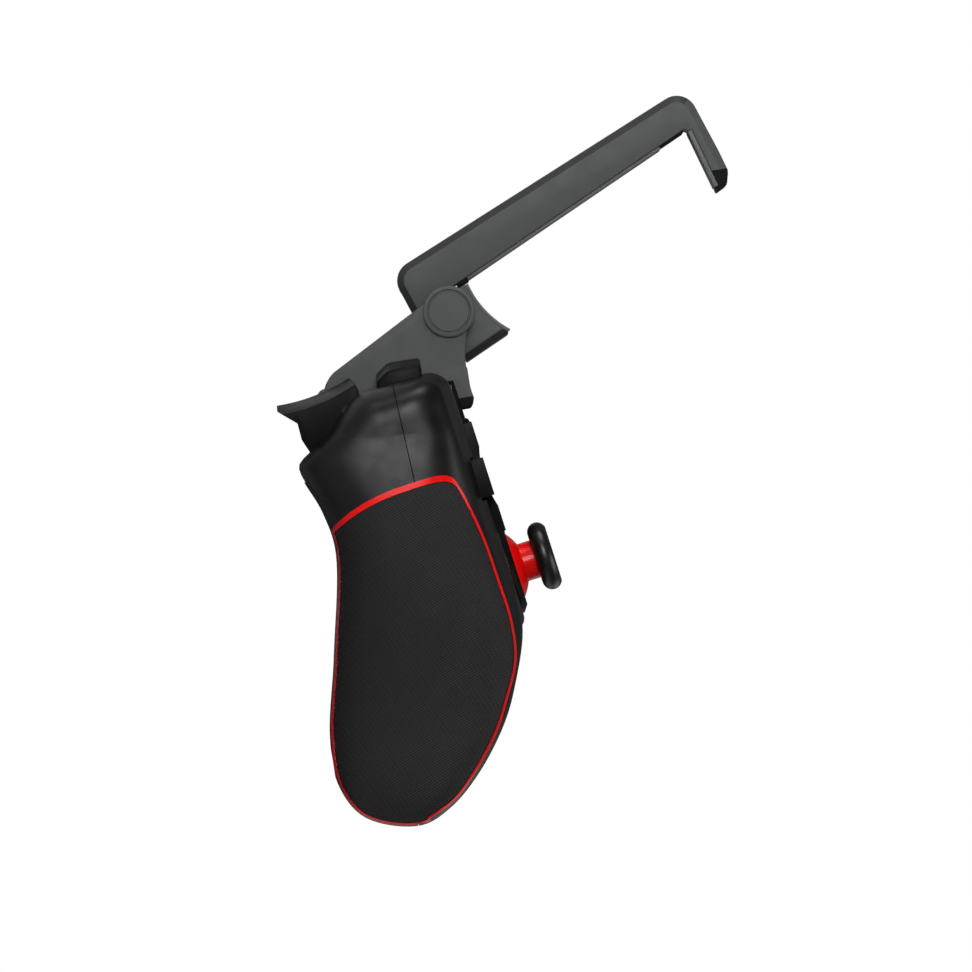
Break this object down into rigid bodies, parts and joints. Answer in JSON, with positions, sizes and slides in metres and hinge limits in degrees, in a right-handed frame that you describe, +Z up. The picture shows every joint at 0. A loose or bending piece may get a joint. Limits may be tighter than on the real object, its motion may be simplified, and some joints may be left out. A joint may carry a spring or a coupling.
{
  "type": "mobile game controller",
  "caption": "Two-handed game controller with sprung triggers, buttons, thumbsticks and a direction pad, and a tilting, sliding phone clamp on a saddle over its top.",
  "frame": {"origin": "middle of the underside of the overall box: the table that the controller lies on, on its back", "axes": "+Z up out of the table and out of the face, +Y towards the triggers and the phone clamp, +X towards the right hand"},
  "size_m": [0.1558, 0.1703, 0.1217],
  "materials": {
    "shell_black": "satin black moulded plastic",
    "gloss_black": "glossy black plastic",
    "grip_rubber": "fine textured rubber",
    "trim_red": "glossy red plastic",
    "thumb_rubber": "smooth black rubber",
    "mount_grey": "fine matte dark grey plastic",
    "pad_grey": "grey rubber pad",
    "liner_black": "black rubber liner",
    "steel": "plain steel",
    "board_green": "printed board",
    "inner_plastic": "moulded inner plastic",
    "film_clear": "silicone film",
    "cell_foil": "foil pouch cell",
    "light_white": "light pipe"
  },
  "bodies": {
    "housing": {"front_shell": "shell_black", "rear_shell": "shell_black", "grip_pad_left": "grip_rubber", "grip_pad_right": "grip_rubber", "grip_trim_left": "trim_red", "grip_trim_right": "trim_red", "shell_screws": "steel", "main_board": "board_green", "button_frame": "inner_plastic", "button_film": "film_clear", "battery": "cell_foil", "motor_left": "steel", "motor_right": "steel", "charge_socket": "steel", "indicator_lights": "light_white", "stick_bezel_left": "gloss_black", "stick_bezel_right": "gloss_black", "stick_module_left": "steel", "stick_module_right": "steel", "trigger_pin_left": "steel", "trigger_pin_right": "steel", "saddle": "mount_grey", "saddle_liner": "liner_black", "hinge_pin": "steel", "hinge_cap_left": "mount_grey", "hinge_cap_right": "mount_grey"},
    "trigger_left": {"trigger_left": "gloss_black"},
    "bumper_left": {"bumper_left": "gloss_black"},
    "stick_yoke_left": {"stick_yoke_left": "inner_plastic"},
    "stick_left": {"stick_post_left": "trim_red", "thumb_cap_left": "thumb_rubber"},
    "trigger_right": {"trigger_right": "gloss_black"},
    "bumper_right": {"bumper_right": "gloss_black"},
    "stick_yoke_right": {"stick_yoke_right": "inner_plastic"},
    "stick_right": {"stick_post_right": "trim_red", "thumb_cap_right": "thumb_rubber"},
    "dpad_pivot": {"dpad_ball_pivot": "steel"},
    "dpad": {"dpad": "gloss_black"},
    "button_north": {"button_north": "gloss_black"},
    "button_east": {"button_east": "gloss_black"},
    "button_south": {"button_south": "gloss_black"},
    "button_west": {"button_west": "gloss_black"},
    "select_button": {"select_button": "gloss_black"},
    "start_button": {"start_button": "gloss_black"},
    "home_button": {"home_button": "gloss_black"},
    "clamp_base": {"lower_jaw": "mount_grey", "jaw_pad": "pad_grey"},
    "clamp_slider": {"clamp_arm": "mount_grey", "arm_pad": "pad_grey"}
  },
  "joints": [
    {"name": "trigger_left_press", "type": "hinge", "parent": "housing", "child": "trigger_left", "pos_m": [-0.047, 0.02, 0.0172], "axis": [-1, 0, 0], "range_deg": [0, 15], "stiffness_Nm_per_rad": 0.06, "springref_deg": -17.19},
    {"name": "bumper_left_press", "type": "slide", "parent": "housing", "child": "bumper_left", "axis": [0, -1, 0], "range_m": [0, 0.001], "stiffness_N_per_m": 800, "springref_m": -0.001},
    {"name": "stick_left_pitch", "type": "hinge", "parent": "housing", "child": "stick_yoke_left", "pos_m": [-0.024, -0.02638, 0.04305], "axis": [1, 0, 0], "range_deg": [-13, 13], "stiffness_Nm_per_rad": 0.04},
    {"name": "stick_left_roll", "type": "hinge", "parent": "stick_yoke_left", "child": "stick_left", "pos_m": [-0.024, -0.02638, 0.04305], "axis": [0, 0.989, -0.1478], "range_deg": [-13, 13], "stiffness_Nm_per_rad": 0.04},
    {"name": "trigger_right_press", "type": "hinge", "parent": "housing", "child": "trigger_right", "pos_m": [0.047, 0.02, 0.0172], "axis": [-1, 0, 0], "range_deg": [0, 15], "stiffness_Nm_per_rad": 0.06, "springref_deg": -17.19},
    {"name": "bumper_right_press", "type": "slide", "parent": "housing", "child": "bumper_right", "axis": [0, -1, 0], "range_m": [0, 0.001], "stiffness_N_per_m": 800, "springref_m": -0.001},
    {"name": "stick_right_pitch", "type": "hinge", "parent": "housing", "child": "stick_yoke_right", "pos_m": [0.024, -0.02638, 0.04305], "axis": [1, 0, 0], "range_deg": [-13, 13], "stiffness_Nm_per_rad": 0.04},
    {"name": "stick_right_roll", "type": "hinge", "parent": "stick_yoke_right", "child": "stick_right", "pos_m": [0.024, -0.02638, 0.04305], "axis": [0, 0.989, -0.1478], "range_deg": [-13, 13], "stiffness_Nm_per_rad": 0.04},
    {"name": "dpad_pitch", "type": "hinge", "parent": "housing", "child": "dpad_pivot", "pos_m": [-0.048, -0.00275, 0.04245], "axis": [1, 0, 0], "range_deg": [-3, 3], "stiffness_Nm_per_rad": 0.3},
    {"name": "dpad_roll", "type": "hinge", "parent": "dpad_pivot", "child": "dpad", "pos_m": [-0.048, -0.00275, 0.04245], "axis": [0, 0.989, -0.1478], "range_deg": [-3, 3], "stiffness_Nm_per_rad": 0.3},
    {"name": "button_north_press", "type": "slide", "parent": "housing", "child": "button_north", "axis": [0, -0.1478, -0.989], "range_m": [0, 0.0012], "stiffness_N_per_m": 400, "springref_m": -0.001},
    {"name": "button_east_press", "type": "slide", "parent": "housing", "child": "button_east", "axis": [0, -0.1478, -0.989], "range_m": [0, 0.0012], "stiffness_N_per_m": 400, "springref_m": -0.001},
    {"name": "button_south_press", "type": "slide", "parent": "housing", "child": "button_south", "axis": [0, -0.1478, -0.989], "range_m": [0, 0.0012], "stiffness_N_per_m": 400, "springref_m": -0.001},
    {"name": "button_west_press", "type": "slide", "parent": "housing", "child": "button_west", "axis": [0, -0.1478, -0.989], "range_m": [0, 0.0012], "stiffness_N_per_m": 400, "springref_m": -0.001},
    {"name": "select_press", "type": "slide", "parent": "housing", "child": "select_button", "axis": [0, -0.1478, -0.989], "range_m": [0, 0.0006], "stiffness_N_per_m": 600, "springref_m": -0.0006},
    {"name": "start_press", "type": "slide", "parent": "housing", "child": "start_button", "axis": [0, -0.1478, -0.989], "range_m": [0, 0.0006], "stiffness_N_per_m": 600, "springref_m": -0.0006},
    {"name": "home_press", "type": "slide", "parent": "housing", "child": "home_button", "axis": [0, -0.1478, -0.989], "range_m": [0, 0.0006], "stiffness_N_per_m": 600, "springref_m": -0.0006},
    {"name": "clamp_tilt", "type": "hinge", "parent": "housing", "child": "clamp_base", "pos_m": [0, 0.0406, 0.0464], "axis": [1, 0, 0], "range_deg": [-45, 38]},
    {"name": "arm_slide", "type": "slide", "parent": "clamp_base", "child": "clamp_slider", "axis": [0, 0.4226, 0.9063], "range_m": [0, 0.018]}
  ]
}
